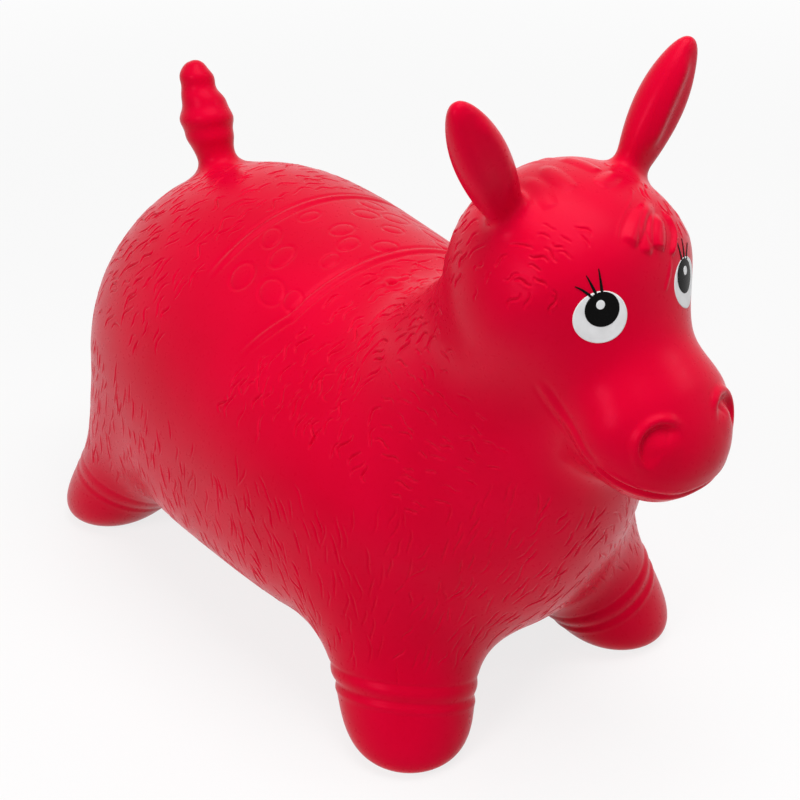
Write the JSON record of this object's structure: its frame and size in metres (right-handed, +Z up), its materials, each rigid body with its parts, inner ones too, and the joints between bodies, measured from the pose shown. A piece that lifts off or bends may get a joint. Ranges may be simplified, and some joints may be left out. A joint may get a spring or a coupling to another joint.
{
  "type": "bouncy ride on animal",
  "caption": "Hollow inflated ride-on donkey for a child to bounce on, held by its two ears, with short hooved legs, a twisted tail, a saddle on its back and an air valve in the belly",
  "frame": {"origin": "middle of the object's footprint, on the floor that the four soles stand on", "axes": "+Z is up, +Y runs from the nose to the rump, so the donkey faces -Y, and +X is the donkey's own left"},
  "size_m": [0.299, 0.583, 0.4722],
  "materials": {
    "red_pvc": "soft semi-gloss moulded red vinyl",
    "clear_pvc": "milky white soft plastic",
    "white_ink": "glossy white printing ink",
    "black_ink": "glossy black printing ink"
  },
  "bodies": {
    "skin": {"torso_skin": "red_pvc", "neck_skin": "red_pvc", "head_skin": "red_pvc", "front_left_leg": "red_pvc", "front_right_leg": "red_pvc", "rear_left_leg": "red_pvc", "rear_right_leg": "red_pvc", "valve_seat": "clear_pvc", "left_eye_white": "white_ink", "left_eye_pupil": "black_ink", "left_eye_catchlight": "white_ink", "left_eye_inner_lash": "black_ink", "left_eye_middle_lash": "black_ink", "left_eye_outer_lash": "black_ink", "right_eye_white": "white_ink", "right_eye_pupil": "black_ink", "right_eye_catchlight": "white_ink", "right_eye_inner_lash": "black_ink", "right_eye_middle_lash": "black_ink", "right_eye_outer_lash": "black_ink"},
    "left_ear": {"left_ear": "red_pvc"},
    "right_ear": {"right_ear": "red_pvc"},
    "tail": {"tail": "red_pvc"},
    "front_left_hoof": {"front_left_hoof": "red_pvc"},
    "front_right_hoof": {"front_right_hoof": "red_pvc"},
    "rear_left_hoof": {"rear_left_hoof": "red_pvc"},
    "rear_right_hoof": {"rear_right_hoof": "red_pvc"},
    "valve_plug": {"valve_plug": "clear_pvc"}
  },
  "joints": [
    {"name": "left_ear_flex", "type": "hinge", "parent": "skin", "child": "left_ear", "pos_m": [0.05185, -0.16478, 0.39332], "axis": [0.8662, 0.0201, -0.4993], "range_deg": [-25, 25], "stiffness_Nm_per_rad": 1.5},
    {"name": "right_ear_flex", "type": "hinge", "parent": "skin", "child": "right_ear", "pos_m": [-0.05185, -0.16478, 0.39332], "axis": [0.8662, -0.0201, 0.4993], "range_deg": [-25, 25], "stiffness_Nm_per_rad": 1.5},
    {"name": "tail_flex", "type": "hinge", "parent": "skin", "child": "tail", "pos_m": [0, 0.218, 0.2951], "axis": [1, 0, 0], "range_deg": [-25, 25], "stiffness_Nm_per_rad": 0.8},
    {"name": "front_left_hoof_bounce", "type": "slide", "parent": "skin", "child": "front_left_hoof", "axis": [0, 0, 1], "range_m": [0, 0.02], "stiffness_N_per_m": 2500, "springref_m": -0.003, "deforming": ["front_left_leg"]},
    {"name": "front_right_hoof_bounce", "type": "slide", "parent": "skin", "child": "front_right_hoof", "axis": [0, 0, 1], "range_m": [0, 0.02], "stiffness_N_per_m": 2500, "springref_m": -0.003, "deforming": ["front_right_leg"]},
    {"name": "rear_left_hoof_bounce", "type": "slide", "parent": "skin", "child": "rear_left_hoof", "axis": [0, 0, 1], "range_m": [0, 0.02], "stiffness_N_per_m": 2500, "springref_m": -0.003, "deforming": ["rear_left_leg"]},
    {"name": "rear_right_hoof_bounce", "type": "slide", "parent": "skin", "child": "rear_right_hoof", "axis": [0, 0, 1], "range_m": [0, 0.02], "stiffness_N_per_m": 2500, "springref_m": -0.003, "deforming": ["rear_right_leg"]},
    {"name": "valve_plug_pull", "type": "slide", "parent": "skin", "child": "valve_plug", "axis": [0, 0.1704, -0.9854], "range_m": [0, 0.02]}
  ]
}
